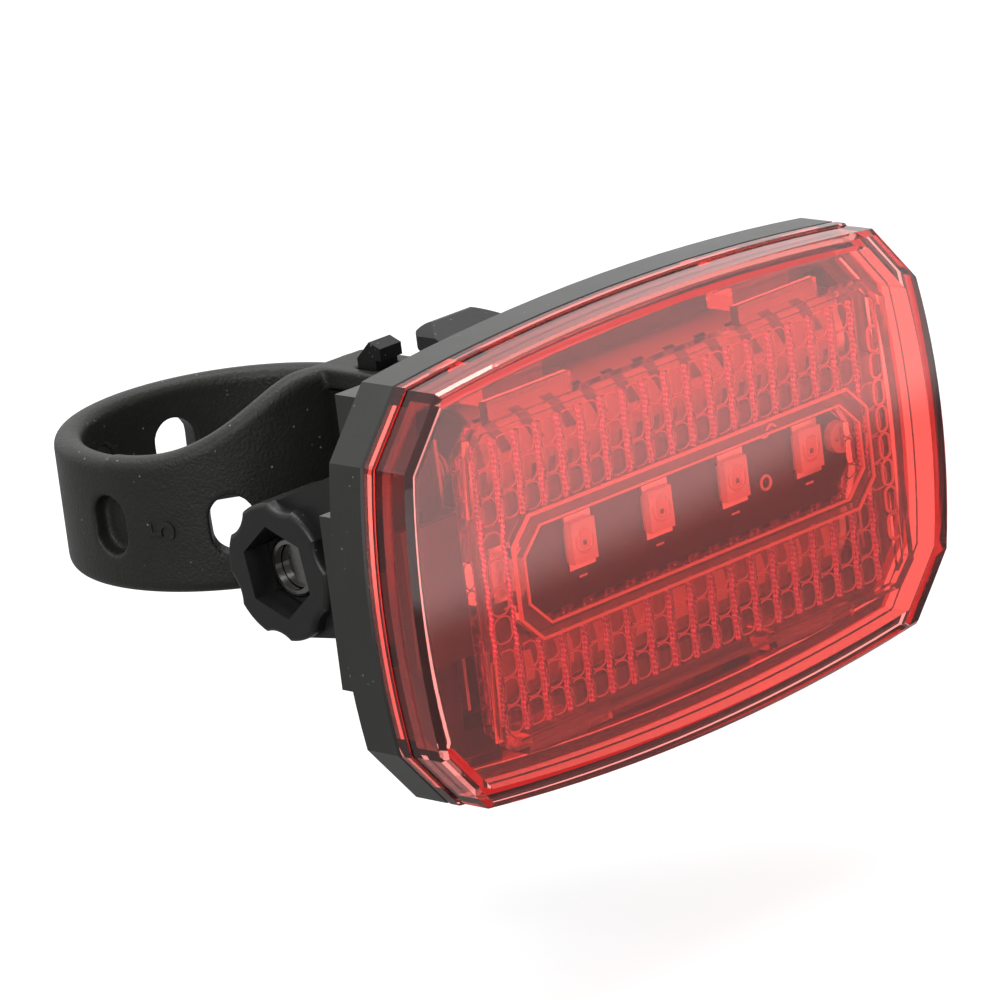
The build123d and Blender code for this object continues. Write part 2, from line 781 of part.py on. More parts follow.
head_x = head_seat_x + washer_t
with BuildPart() as hinge_screw:
    add(disc(head_x, head_x + screw_head_t, screw_head_d / 2))
    fillet(hinge_screw.faces().sort_by(Axis.X)[-1].edges(), screw_head_t / 3)
    add(disc(head_x - hinge_screw_l, head_x + screw_head_t / 2, hinge_screw_d / 2))
    with BuildSketch(across(head_x + screw_head_t - recess_depth)):
        with Locations((hinge_y, hinge_z)):
            Rectangle(recess_slot_l, recess_slot_w)
            Rectangle(recess_slot_w, recess_slot_l)
    extrude(amount=screw_head_t, mode=Mode.SUBTRACT)
finish(hinge_screw, "hinge_screw")

with BuildPart() as hinge_washer:
    add(disc(head_seat_x, head_x, washer_d / 2))
    add(disc(head_seat_x - overrun, head_x + overrun, bore_r), mode=Mode.SUBTRACT)
finish(hinge_washer, "hinge_washer")

with BuildPart() as hinge_nut:
    with BuildSketch(across(nut_floor_x - nut_t)):
        with Locations((hinge_y, hinge_z)):
            RegularPolygon(nut_af / 2, 6, major_radius=False, rotation=nut_turn)
    extrude(amount=nut_t)
    add(disc(nut_floor_x - nut_t - collar_t, nut_floor_x, collar_d / 2))
    fillet(hinge_nut.faces().sort_by(Axis.X)[0].edges(), collar_round)
    add(disc(nut_floor_x - nut_t - collar_t - overrun, nut_floor_x + overrun, bore_r),
        mode=Mode.SUBTRACT)
finish(hinge_nut, "hinge_nut")

# Hinge base: knuckle, block against the strap, gusset and the strap hook
hook_y = -(strap_out + hook_set)
with BuildPart() as hinge_base:
    add(disc(-knuckle_w / 2, knuckle_w / 2, knuckle_r))
    add(block(-base_block_w / 2, base_block_w / 2, hinge_y, -strap_in,
              -strap_h / 2 + base_foot_gap, hinge_z + base_block_up))
    with BuildSketch(across(-gusset_w / 2)):
        with BuildLine():
            Polyline((-strap_in, hinge_z), (-strap_in, gusset_top),
                     (-strap_out - gusset_l, gusset_top),
                     (-strap_out - gusset_l + gusset_lean, gusset_top / 2),
                     (hinge_y - knuckle_r + gusset_lean, hinge_z), close=True)
        make_face()
    extrude(amount=gusset_w)
    with BuildSketch(across(-hook_w / 2)):
        with BuildLine():
            hook_z = pad_top + hook_clear
            ramp_y = hook_y - hook_ramp_run
            Polyline((hook_y, gusset_top - hook_t / 2), (hook_y, hook_z),
                     (ramp_y, hook_z + hook_ramp_rise), (hook_y - hook_t - hook_lip, hook_z + hook_lip_t),
                     (hook_y - hook_t - hook_lip, hook_z), (hook_y - hook_t, hook_z),
                     (hook_y - hook_t, gusset_top - hook_t / 2), close=True)
        make_face()
    extrude(amount=hook_w)
    with BuildSketch(level(-strap_h)):
        Circle(strap_out + seat_gap)
    extrude(amount=2 * strap_h + pad_top, mode=Mode.SUBTRACT)
    add(disc(-knuckle_w, knuckle_w, bore_r), mode=Mode.SUBTRACT)
finish(hinge_base, "hinge_base")

# Strap: round band with holes and a blind recess, a flared pad and an eye over the hook
with BuildPart() as pad:
    with BuildSketch(level(-pad_root + strap_h / 2)):
        Circle(strap_out)
        Circle(strap_in, mode=Mode.SUBTRACT)
    extrude(amount=pad_top + pad_root)
    with BuildSketch(Plane(origin=(0, 0, 0), x_dir=(1, 0, 0), z_dir=(0, -1, 0))) as profile:
        with BuildLine():
            low = strap_h / 2 - pad_root
            Polyline((pad_end_x, pad_top), (pad_end_x, low), (pad_foot_x, low),
                     (pad_foot_x, strap_h / 2 - strap_round))
            ThreePointArc((pad_foot_x, strap_h / 2 - strap_round), (pad_mid_x, pad_top - pad_mid_drop),
                          (pad_knee_x, pad_top - pad_knee_drop))
            Line((pad_knee_x, pad_top - pad_knee_drop), (pad_end_x, pad_top))
        make_face()
    extrude(amount=strap_out + overrun, mode=Mode.INTERSECT)

with BuildPart() as mount_strap:
    with BuildSketch(Plane.XZ):
        with Locations(((strap_in + strap_out) / 2, 0)):
            RectangleRounded(strap_t, strap_h, strap_round)
    revolve(axis=Axis.Z)
    add(pad.part)
    with BuildSketch(level(eye_z)):
        with Locations((pad_end_x - eye_corner / 2, -strap_in - eye_l / 2 - strap_t / 2)):
            RectangleRounded(eye_w, eye_l, eye_corner)
        with Locations((0, hook_y - hook_t / 2)):
            Rectangle(hook_w + 2 * hook_gap, hook_t + 2 * hook_gap, mode=Mode.SUBTRACT)
    extrude(amount=eye_t)
    for angle, start in [(a, 0) for a in hole_angles] + [(blind_angle, strap_out - blind_depth)]:
        turn = math.radians(angle)
        out = Vector(math.cos(turn), math.sin(turn), 0)
        with BuildSketch(Plane(origin=out * start, x_dir=(-out.Y, out.X, 0), z_dir=out)):
            SlotOverall(hole_h, hole_w, rotation=90)
        extrude(amount=strap_out + overrun, mode=Mode.SUBTRACT)
finish(mount_strap, "mount_strap")
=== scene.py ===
import bpy
import bmesh
import math
from mathutils import Matrix, Vector


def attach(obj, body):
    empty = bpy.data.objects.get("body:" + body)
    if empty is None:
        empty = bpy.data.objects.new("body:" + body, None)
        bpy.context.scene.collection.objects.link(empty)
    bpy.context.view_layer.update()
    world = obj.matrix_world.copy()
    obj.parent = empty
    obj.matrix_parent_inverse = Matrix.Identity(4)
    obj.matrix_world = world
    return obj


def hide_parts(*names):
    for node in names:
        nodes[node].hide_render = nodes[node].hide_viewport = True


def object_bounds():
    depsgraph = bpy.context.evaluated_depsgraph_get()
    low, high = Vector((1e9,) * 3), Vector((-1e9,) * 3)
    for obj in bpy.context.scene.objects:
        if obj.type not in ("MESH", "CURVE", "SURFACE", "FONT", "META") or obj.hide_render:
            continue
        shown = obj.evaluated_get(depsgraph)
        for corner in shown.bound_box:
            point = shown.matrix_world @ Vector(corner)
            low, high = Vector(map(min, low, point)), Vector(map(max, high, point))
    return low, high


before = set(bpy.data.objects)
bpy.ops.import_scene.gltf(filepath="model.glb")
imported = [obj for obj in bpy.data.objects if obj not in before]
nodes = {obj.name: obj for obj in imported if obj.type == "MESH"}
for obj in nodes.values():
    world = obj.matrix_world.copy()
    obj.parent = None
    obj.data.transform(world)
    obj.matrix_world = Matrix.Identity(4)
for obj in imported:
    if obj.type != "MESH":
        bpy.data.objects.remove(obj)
cad_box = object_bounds()
mm = 0.001


# Camera
# A long studio lens looks down at the light from its left front corner, a little rolled.
# Its place was solved from the outline of the light and the strap in the photograph.
view_azimuth = math.radians(-44.507)
view_elevation = math.radians(16.123)
view_roll = math.radians(-6.838)
view_distance = 626.6 * mm
view_focal_px = 7488.0
lens_centre = Vector((0, -55.5, 3.0)) * mm
lens_centre_px = Vector((687.3, 513.4))
image_px = 1000.0
sensor_width = 36.0


def add_object(name, data):
    # an object for a camera, lamp, curve or mesh, in the scene
    thing = bpy.data.objects.new(name, data)
    bpy.context.collection.objects.link(thing)
    return thing


towards = Vector((math.sin(view_azimuth) * math.cos(view_elevation),
                  -math.cos(view_azimuth) * math.cos(view_elevation), math.sin(view_elevation)))
level_right = Vector((math.cos(view_azimuth), math.sin(view_azimuth), 0))
level_up = towards.cross(level_right)
cam_right = math.cos(view_roll) * level_right + math.sin(view_roll) * level_up
cam_up = math.cos(view_roll) * level_up - math.sin(view_roll) * level_right
yaw = math.atan((lens_centre_px.x - image_px / 2) / view_focal_px)
pitch = math.atan((lens_centre_px.y - image_px / 2) / view_focal_px)
camera_data = bpy.data.cameras.new("photo_camera")
camera_data.sensor_width = sensor_width
camera_data.lens = view_focal_px * sensor_width / image_px
camera_data.clip_start = 0.01
camera_data.clip_end = 20
camera = add_object("photo_camera", camera_data)
axes = Matrix((cam_right, cam_up, towards)).transposed().to_4x4()
camera.matrix_world = (Matrix.Translation(lens_centre + towards * view_distance) @ axes
                       @ Matrix.Rotation(yaw, 4, "Y") @ Matrix.Rotation(pitch, 4, "X"))
bpy.context.scene.camera = camera
bpy.context.scene.view_settings.view_transform = "Standard"


# Studio
# A pale table top, a white room, one wide softbox overhead and one at the left. Mirrored, the
# table glows over its far half only, which shows in the lens as a band of haze. The light
# hangs above the table with room to tilt.
tilt_room = 18.0
floor_z = cad_box[0][2] - tilt_room * mm
floor_reach = 4.0
floor_grey = 0.3
seen_floor = 0.78
haze_starts = -141.0 * mm
haze_is_full = -166.0 * mm
haze_strength = 1.75
room_strength = 0.45
aim = Vector((0, -35.0, 0)) * mm
white = (1, 1, 1, 1)


def add_node(tree, kind, x, y, **values):
    # one node at a place in its tree, its sockets and settings filled by name
    node = tree.nodes.new(kind)
    node.location = (x, y)
    for name, value in values.items():
        title = name.replace("_", " ")
        if title in node.inputs:
            node.inputs[title].default_value = value
        else:
            setattr(node, name, value)
    return node


def connect(tree, *routes):
    # each route is a node, its output, the next node and that one's input
    for source, output, target, socket in routes:
        tree.links.new(source.outputs[output], target.inputs[socket])


def empty_tree(owner):
    owner.use_nodes = True
    owner.node_tree.nodes.clear()
    return owner.node_tree


floor_mesh = bpy.data.meshes.new("floor")
floor_mesh.from_pydata([(x * floor_reach, y * floor_reach, floor_z)
                        for x, y in ((-1, -1), (1, -1), (1, 1), (-1, 1))], [], [(0, 1, 2, 3)])
floor = add_object("floor", floor_mesh)
floor_paint = bpy.data.materials.new("pale_table_top")
tree = empty_tree(floor_paint)
out = add_node(tree, "ShaderNodeOutputMaterial", 1000, 0)
diffuse = add_node(tree, "ShaderNodeBsdfDiffuse", 200, 200, Color=(floor_grey, floor_grey, floor_grey, 1))
glow = add_node(tree, "ShaderNodeEmission", 600, -100, Color=white)
path = add_node(tree, "ShaderNodeLightPath", -600, 0)
place = add_node(tree, "ShaderNodeNewGeometry", -600, -300)
split = add_node(tree, "ShaderNodeSeparateXYZ", -400, -300)
far_half = add_node(tree, "ShaderNodeMapRange", -200, -300, interpolation_type="SMOOTHSTEP",
                    From_Min=haze_starts, From_Max=haze_is_full, To_Min=0.0, To_Max=haze_strength)
background = add_node(tree, "ShaderNodeMath", 0, 0, operation="MULTIPLY_ADD")
background.inputs[1].default_value = seen_floor
mirrored = add_node(tree, "ShaderNodeMath", 0, -200, operation="MULTIPLY")
strength = add_node(tree, "ShaderNodeMath", 300, -100, operation="ADD")
both = add_node(tree, "ShaderNodeAddShader", 800, 0)
connect(tree, (path, "Is Camera Ray", background, 0), (path, "Is Transmission Ray", background, 2),
        (place, "Position", split, 0), (split, "Y", far_half, "Value"),
        (path, "Is Glossy Ray", mirrored, 0), (far_half, 0, mirrored, 1),
        (background, 0, strength, 0), (mirrored, 0, strength, 1), (strength, 0, glow, "Strength"),
        (diffuse, 0, both, 0), (glow, 0, both, 1), (both, 0, out, "Surface"))
floor_mesh.materials.append(floor_paint)

world = bpy.data.worlds.new("white_room")
bpy.context.scene.world = world
tree = empty_tree(world)
out = add_node(tree, "ShaderNodeOutputWorld", 600, 0)
seen_room = add_node(tree, "ShaderNodeBackground", 200, 100, Color=white, Strength=1.0)
room_light = add_node(tree, "ShaderNodeBackground", 200, -100, Color=white, Strength=room_strength)
path = add_node(tree, "ShaderNodeLightPath", -400, 0)
seen = add_node(tree, "ShaderNodeMath", -200, 0, operation="ADD", use_clamp=True)
seen_or_mirrored = add_node(tree, "ShaderNodeMath", 0, 0, operation="ADD", use_clamp=True)
pick = add_node(tree, "ShaderNodeMixShader", 400, 0)
connect(tree, (path, "Is Camera Ray", seen, 0), (path, "Is Transmission Ray", seen, 1),
        (seen, 0, seen_or_mirrored, 0), (path, "Is Glossy Ray", seen_or_mirrored, 1),
        (seen_or_mirrored, 0, pick, "Fac"), (room_light, 0, pick, 1), (seen_room, 0, pick, 2),
        (pick, 0, out, "Surface"))


def softbox(name, place, width, height, power):
    # a rectangular lamp aimed at the light, in metres and watts
    lamp = bpy.data.lights.new(name, "AREA")
    lamp.shape = "RECTANGLE"
    lamp.size = width
    lamp.size_y = height
    lamp.energy = power
    body = add_object(name, lamp)
    body.location = place
    body.rotation_euler = (aim - Vector(place)).to_track_quat("-Z", "Y").to_euler()
    body.visible_camera = False


softbox("overhead_softbox", (0.05, 0.15, 0.75), width=0.9, height=0.6, power=7.0)
softbox("left_softbox", (-0.8, -0.35, 0.45), width=0.5, height=0.5, power=5.5)


# Hinge base, slide clip and release latch
# All three are injection moulded in black nylon. The base sits inside the strap and carries
# its hook. The clip has the hinge ears and the nut pocket, and its plate slides in the rails.
drift_scale = 160.0
fine_height = 0.8
speck_scale = 1400.0
speck_edge = 0.16
speck_core = 0.08
speck_share = 0.18
dust_grey = (0.4, 0.4, 0.38, 1)


def add_sockets(group, way, **kinds):
    # named inputs or outputs in this order, with a space for each underscore
    for name, kind in kinds.items():
        group.interface.new_socket(name.replace("_", " "), in_out=way, socket_type="NodeSocket" + kind)


def grain_group():
    # fine moulded grain: slow colour drift, sparse dust, roughness changes and a bump height
    group = bpy.data.node_groups.new("moulded_grain", "ShaderNodeTree")
    add_sockets(group, "INPUT", Place="Vector", Grain_Size="Float", Drift="Float", Rough_Low="Float",
                Rough_High="Float", Dust="Float", Paint="Color", Worn_Paint="Color")
    add_sockets(group, "OUTPUT", Colour="Color", Rough="Float", Height="Float")
    start = add_node(group, "NodeGroupInput", -900, 0)
    end = add_node(group, "NodeGroupOutput", 700, 0)
    per_metre = add_node(group, "ShaderNodeMath", -700, -150, operation="DIVIDE")
    per_metre.inputs[0].default_value = 1.0
    fine = add_node(group, "ShaderNodeTexNoise", -450, -150, Detail=3.0, Roughness=0.6)
    slow = add_node(group, "ShaderNodeTexNoise", -450, 150, Scale=drift_scale, Detail=4.0, Roughness=0.65)
    share = add_node(group, "ShaderNodeMath", -200, 250, operation="MULTIPLY")
    blend = add_node(group, "ShaderNodeMix", 50, 250, data_type="RGBA")
    rough = add_node(group, "ShaderNodeMapRange", 50, -50)
    lift = add_node(group, "ShaderNodeMath", 50, -350, operation="MULTIPLY_ADD")
    lift.inputs[1].default_value = fine_height
    speck = add_node(group, "ShaderNodeTexVoronoi", -450, 500, Scale=speck_scale)
    small = add_node(group, "ShaderNodeMapRange", -200, 500, From_Min=speck_edge, From_Max=speck_core)
    chosen = add_node(group, "ShaderNodeSeparateColor", -200, 700)
    rare = add_node(group, "ShaderNodeMath", 0, 700, operation="LESS_THAN")
    rare.inputs[1].default_value = speck_share
    dusty = add_node(group, "ShaderNodeMath", 150, 600, operation="MULTIPLY")
    amount = add_node(group, "ShaderNodeMath", 300, 600, operation="MULTIPLY")
    settled = add_node(group, "ShaderNodeMix", 480, 350, data_type="RGBA")
    settled.inputs[7].default_value = dust_grey
    connect(group, (start, "Place", speck, "Vector"), (speck, "Distance", small, "Value"),
            (speck, "Color", chosen, 0), (chosen, 0, rare, 0), (small, 0, dusty, 0),
            (rare, 0, dusty, 1), (dusty, 0, amount, 0), (start, "Dust", amount, 1),
            (amount, 0, settled, 0), (blend, 2, settled, 6), (settled, 2, end, "Colour"))
    connect(group, (start, "Grain Size", per_metre, 1), (start, "Place", fine, "Vector"),
            (start, "Place", slow, "Vector"), (per_metre, 0, fine, "Scale"), (slow, "Fac", share, 0),
            (start, "Drift", share, 1), (share, 0, blend, 0), (start, "Paint", blend, 6),
            (start, "Worn Paint", blend, 7))
    connect(group, (slow, "Fac", rough, "Value"), (start, "Rough Low", rough, "To Min"),
            (start, "Rough High", rough, "To Max"), (rough, 0, end, "Rough"), (fine, "Fac", lift, 0),
            (slow, "Fac", lift, 2), (lift, 0, end, "Height"))
    return group


moulded_grain = grain_group()


def add_grain(tree, shader, paint, worn, rough, grain, drift, dust, depth, bump_strength):
    # the moulded grain in a shader's colour, roughness and bump, its sizes in millimetres
    where = add_node(tree, "ShaderNodeTexCoord", -500, 0)
    surface = add_node(tree, "ShaderNodeGroup", -200, 0, node_tree=moulded_grain,
                       Grain_Size=grain * mm, Drift=drift, Rough_Low=rough[0], Rough_High=rough[1],
                       Dust=dust, Paint=(*paint, 1), Worn_Paint=(*worn, 1))
    bump = add_node(tree, "ShaderNodeBump", 100, -250, Strength=bump_strength, Distance=depth * mm)
    connect(tree, (where, "Object", surface, "Place"), (surface, "Colour", shader, "Base Color"),
            (surface, "Rough", shader, "Roughness"), (surface, "Height", bump, "Height"),
            (bump, 0, shader, "Normal"))


def moulded(name, paint, worn, rough, grain=0.3, drift=0.5, depth=0.01, dust=0.0, **shader_values):
    # a solid material with the moulded grain
    material = bpy.data.materials.new(name)
    tree = empty_tree(material)
    out = add_node(tree, "ShaderNodeOutputMaterial", 700, 0)
    shader = add_node(tree, "ShaderNodeBsdfPrincipled", 400, 0, **shader_values)
    add_grain(tree, shader, paint, worn, rough, grain, drift, dust, depth, bump_strength=1.0)
    connect(tree, (shader, 0, out, "Surface"))
    return material


def dress(material, *names):
    # carried-over solids keep their meshes and get a finish
    for name in names:
        for held in nodes[name].material_slots:
            held.material = material


base_nylon = moulded("base_nylon", (0.003, 0.003, 0.003), (0.009, 0.009, 0.008), (0.34, 0.5),
                     grain=0.22, depth=0.02, dust=0.35, Specular_IOR_Level=0.2)
clip_nylon = moulded("clip_nylon", (0.008, 0.008, 0.008), (0.022, 0.022, 0.021), (0.26, 0.42),
                     grain=0.25, depth=0.02, dust=0.3, Specular_IOR_Level=0.25)
dress(base_nylon, "hinge_base")
dress(clip_nylon, "slide_clip", "release_latch")


# Hinge screw, washer and nut
# Blackened steel. The lock nut drops into the hexagon pocket in the left ear, its nylon
# collar outwards, and the screw is turned from the right.
blackened = moulded("blackened_steel", (0.1, 0.1, 0.1), (0.3, 0.29, 0.28), (0.1, 0.22), grain=0.25,
                    drift=0.8, Metallic=1.0)
dress(blackened, "hinge_screw", "hinge_washer", "hinge_nut")


# Strap
# Moulded from soft black rubber, matt with a fine grain. It goes round the post and hooks
# over the base by one of its holes. Its front flares up into a pad with a slotted eye.
strap_in = 13.6
strap_thick = 2.6
strap_out = strap_in + strap_thick
strap_half = 6.0
strap_round = 1.0
strap_ring_steps = 288
strap_corner_steps = 4
strap_voxel = 0.2
pad_top = 12.3
pad_rise_from = -14.6
pad_rise_to = -3.6
pad_fall_from = 1.5
pad_fall_length = 2.2
eye_thick = 1.8
eye_left = -2.9
eye_right = 3.3
eye_front = -24.1
eye_back = -14.2
eye_corner = 1.4
slot_half = 1.55
slot_front = -21.15
slot_back = -18.35
slot_reach = 3.0
hole_width = 4.0
hole_height = 5.4
hole_steps = 24
hole_turns = (-136.0, 111.0, 73.0, 38.0)
recess_turn = -179.5
recess_floor = 14.5
cutter_from = 10.0
cutter_to = 20.0
numeral_turn = -158.5
numeral_height = 3.6
numeral_proud = 0.2
numeral_bevel = 0.03
strap_rubber = moulded("strap_rubber", (0.009, 0.009, 0.008), (0.022, 0.022, 0.02), (0.34, 0.5),
                       drift=0.6, depth=0.1, dust=0.45, Specular_IOR_Level=0.22)


def new_piece(name, mesh, material, body):
    # an object at the origin that rides on a body
    piece = add_object(name, mesh)
    mesh.materials.clear()
    mesh.materials.append(material)
    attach(piece, body)
    return piece


def eased(t):
    t = min(1.0, max(0.0, t))
    return t * t * (3 - 2 * t)


def strap_top(x, y):
    # the band's upper edge: it flares up to the hook pad at the front, then drops behind it
    if y > 0:
        return strap_half
    rise = eased((x - pad_rise_from) / (pad_rise_to - pad_rise_from))
    fall = 1 - eased((x - pad_fall_from) / pad_fall_length)
    return strap_half + (pad_top - strap_half) * rise * fall


def band_mesh():
    # rounded rectangle section carried round the post, its upper corners following the flare
    mesh = bmesh.new()
    outer = strap_out - strap_round
    inner = strap_in + strap_round
    low = strap_round - strap_half
    sections = []
    for i in range(strap_ring_steps):
        a = 2 * math.pi * i / strap_ring_steps
        high = strap_top(strap_in * math.cos(a), strap_in * math.sin(a)) - strap_round
        section = []
        for r, z, first in ((outer, low, -90), (outer, high, 0), (inner, high, 90), (inner, low, 180)):
            for k in range(strap_corner_steps + 1):
                turn = math.radians(first + 90 * k / strap_corner_steps)
                reach = r + strap_round * math.cos(turn)
                height = z + strap_round * math.sin(turn)
                section.append(mesh.verts.new((reach * math.cos(a) * mm, reach * math.sin(a) * mm,
                                               height * mm)))
        sections.append(section)
    for i, section in enumerate(sections):
        after = sections[(i + 1) % len(sections)]
        for k in range(len(section)):
            n = (k + 1) % len(section)
            mesh.faces.new((section[k], after[k], after[n], section[n]))
    return mesh


def closed_between(mesh, near, far):
    # a closed solid from one flat outline to another with as many points, in millimetres
    low = [mesh.verts.new(Vector(point) * mm) for point in near]
    high = [mesh.verts.new(Vector(point) * mm) for point in far]
    mesh.faces.new(list(reversed(low)))
    mesh.faces.new(high)
    for k in range(len(low)):
        n = (k + 1) % len(low)
        mesh.faces.new((low[k], low[n], high[n], high[k]))


def upright_prism(mesh, outline, z0, z1):
    closed_between(mesh, [(x, y, z0) for x, y in outline], [(x, y, z1) for x, y in outline])


def hole_outline(turn, radius):
    # the outline of a strap hole at a radius from the post's axis, upright with round ends
    a = math.radians(turn)
    middle = Vector((math.cos(a), math.sin(a), 0)) * radius
    along = Vector((-math.sin(a), math.cos(a), 0))
    outline = []
    for k in range(hole_steps):
        b = 2 * math.pi * k / hole_steps
        rise = math.copysign((hole_height - hole_width) / 2, math.sin(b))
        outline.append(middle + along * (hole_width / 2 * math.cos(b))
                       + Vector((0, 0, rise + hole_width / 2 * math.sin(b))))
    return outline


def from_bmesh(name, mesh):
    data = bpy.data.meshes.new(name)
    bmesh.ops.recalc_face_normals(mesh, faces=mesh.faces)
    mesh.to_mesh(data)
    mesh.free()
    return data


def evaluated(thing):
    # the mesh that the modifiers give, with the object that carried them removed
    bpy.context.view_layer.update()
    graph = bpy.context.evaluated_depsgraph_get()
    shape = bpy.data.meshes.new_from_object(thing.evaluated_get(graph))
    bpy.data.objects.remove(thing)
    return shape


band = add_object("band", from_bmesh("band", band_mesh()))
eye = bmesh.new()
upright_prism(eye, [(eye_left, eye_back), (eye_left, eye_front + eye_corner),
                    (eye_left + eye_corner, eye_front), (eye_right - eye_corner, eye_front),
                    (eye_right, eye_front + eye_corner), (eye_right, eye_back)],
              pad_top - eye_thick, pad_top)
eye_object = add_object("eye", from_bmesh("eye", eye))
cutters = bmesh.new()
upright_prism(cutters, [(-slot_half, slot_front), (slot_half, slot_front), (slot_half, slot_back),
                        (-slot_half, slot_back)], pad_top - slot_reach, pad_top + slot_reach)
# the recess is blind, so its cutter starts inside the wall
for turn, start in [(recess_turn, recess_floor)] + [(turn, cutter_from) for turn in hole_turns]:
    closed_between(cutters, hole_outline(turn, cutter_to), hole_outline(turn, start))
cutter_object = add_object("strap_cutters", from_bmesh("strap_cutters", cutters))
for operation, other in (("UNION", eye_object), ("DIFFERENCE", cutter_object)):
    cut = band.modifiers.new(operation.lower(), "BOOLEAN")
    cut.operation = operation
    cut.object = other
    cut.solver = "EXACT"
skin = band.modifiers.new("skin", "REMESH")
skin.mode = "VOXEL"
skin.voxel_size = strap_voxel * mm
soften = band.modifiers.new("soften", "SMOOTH")
soften.factor = 0.5
soften.iterations = 8
strap_mesh = evaluated(band)
for other in (eye_object, cutter_object):
    bpy.data.objects.remove(other)
strap_mesh.shade_smooth()
strap = new_piece("strap_band", strap_mesh, strap_rubber, "mount")
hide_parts("mount_strap")

# a plain moulded size numeral stands out of the band, lying on its side
numeral_text = bpy.data.curves.new("strap_numeral", "FONT")
numeral_text.body = "5"
numeral_text.size = numeral_height * mm
numeral_text.extrude = numeral_proud * mm
numeral_text.bevel_depth = numeral_bevel * mm
numeral_text.align_x = "CENTER"
numeral_text.align_y = "CENTER"
numeral_mesh = evaluated(add_object("strap_numeral", numeral_text))
for point in numeral_mesh.vertices:
    a = math.radians(numeral_turn) - point.co.y / (strap_out * mm)
    r = strap_out * mm + point.co.z
    point.co = (r * math.cos(a), r * math.sin(a), point.co.x)
new_piece("strap_numeral", numeral_mesh, strap_rubber, "mount")


# Back shell, seal and button
# The shell is a black moulding with a fine sparked texture. The seal is a ring of red silicone
# squeezed between it and the lens, and the button a black rubber cap.
dress(moulded("shell_plastic", (0.009, 0.009, 0.008), (0.02, 0.02, 0.018), (0.24, 0.38), grain=0.25,
              depth=0.015, dust=0.3, Specular_IOR_Level=0.5), "back_shell")
dress(moulded("seal_silicone", (0.8, 0.03, 0.02), (0.65, 0.04, 0.03), (0.45, 0.6), drift=0.4, depth=0.02),
      "seal_ring")
dress(moulded("button_rubber", (0.015, 0.015, 0.015), (0.03, 0.03, 0.03), (0.55, 0.7), drift=0.4,
              depth=0.02), "power_button")


# Circuit board
# Glass fibre board under dark solder mask, with five diodes along its middle, their tinned
# solder tabs and white ink marks, and the driver parts on its back.
centre_z = 3.0
board_front = -51.2
led_count = 5
led_pitch = 9.3
led_face = -52.0
led_size = (2.8, 3.6)
first_led = -(led_count - 1) / 2 * led_pitch
tab_size = (3.1, 0.24, 0.56)
side_strip_size = (0.14, 0.12, 3.0)
side_strip_gap = 0.16
dash_size = (0.95, 0.06, 0.2)
dash_aside = 0.1
dash_drop = 1.35
ink_rings = ((13.9, 2.9), (13.4, -1.6))
ink_ring_size = (1.2, 1.2)
ink_ring_corner = 0.59
ink_ring_wire = 0.14
ink_ring_proud = 0.06
frame_size = (1.5, 1.9)
frame_corner = 0.45
frame_wire = 0.1
frame_lift = 0.25
frame_bar_size = (1.9, 0.06, 0.1)
frame_bar_drop = 1.15
frame_proud = 0.02
dot_size = (0.34, 0.08, 0.38)
dot_drop = 0.15
dot_proud = 0.03


def start_tree(name, **inputs):
    # a geometry tree with named inputs for its sizes and its finish
    group = bpy.data.node_groups.new(name, "GeometryNodeTree")
    add_sockets(group, "INPUT", **inputs, Finish="Material")
    add_sockets(group, "OUTPUT", Geometry="Geometry")
    return group, add_node(group, "NodeGroupInput", -900, 0), add_node(group, "NodeGroupOutput", 1100, 0)


def finish_tree(group, given, made, shape, x):
    # every tree ends in real geometry with its finish
    real = add_node(group, "GeometryNodeRealizeInstances", x, 100)
    finish = add_node(group, "GeometryNodeSetMaterial", x + 180, 100)
    connect(group, (shape, 0, real, 0), (real, 0, finish, "Geometry"),
            (given, "Finish", finish, "Material"), (finish, 0, made, "Geometry"))


def block_tree():
    # a row of small flat blocks
    group, given, made = start_tree("block_row", First="Vector", Step="Vector", Count="Int",
                                    Block_Size="Vector")
    row = add_node(group, "GeometryNodeMeshLine", -400, 200, mode="OFFSET")
    solid = add_node(group, "GeometryNodeMeshCube", -400, -200)
    placed = add_node(group, "GeometryNodeInstanceOnPoints", 0, 100)
    connect(group, (given, "First", row, "Start Location"), (given, "Step", row, "Offset"),
            (given, "Count", row, "Count"), (given, "Block Size", solid, "Size"),
            (row, 0, placed, "Points"), (solid, 0, placed, "Instance"))
    finish_tree(group, given, made, placed, 250)
    return group


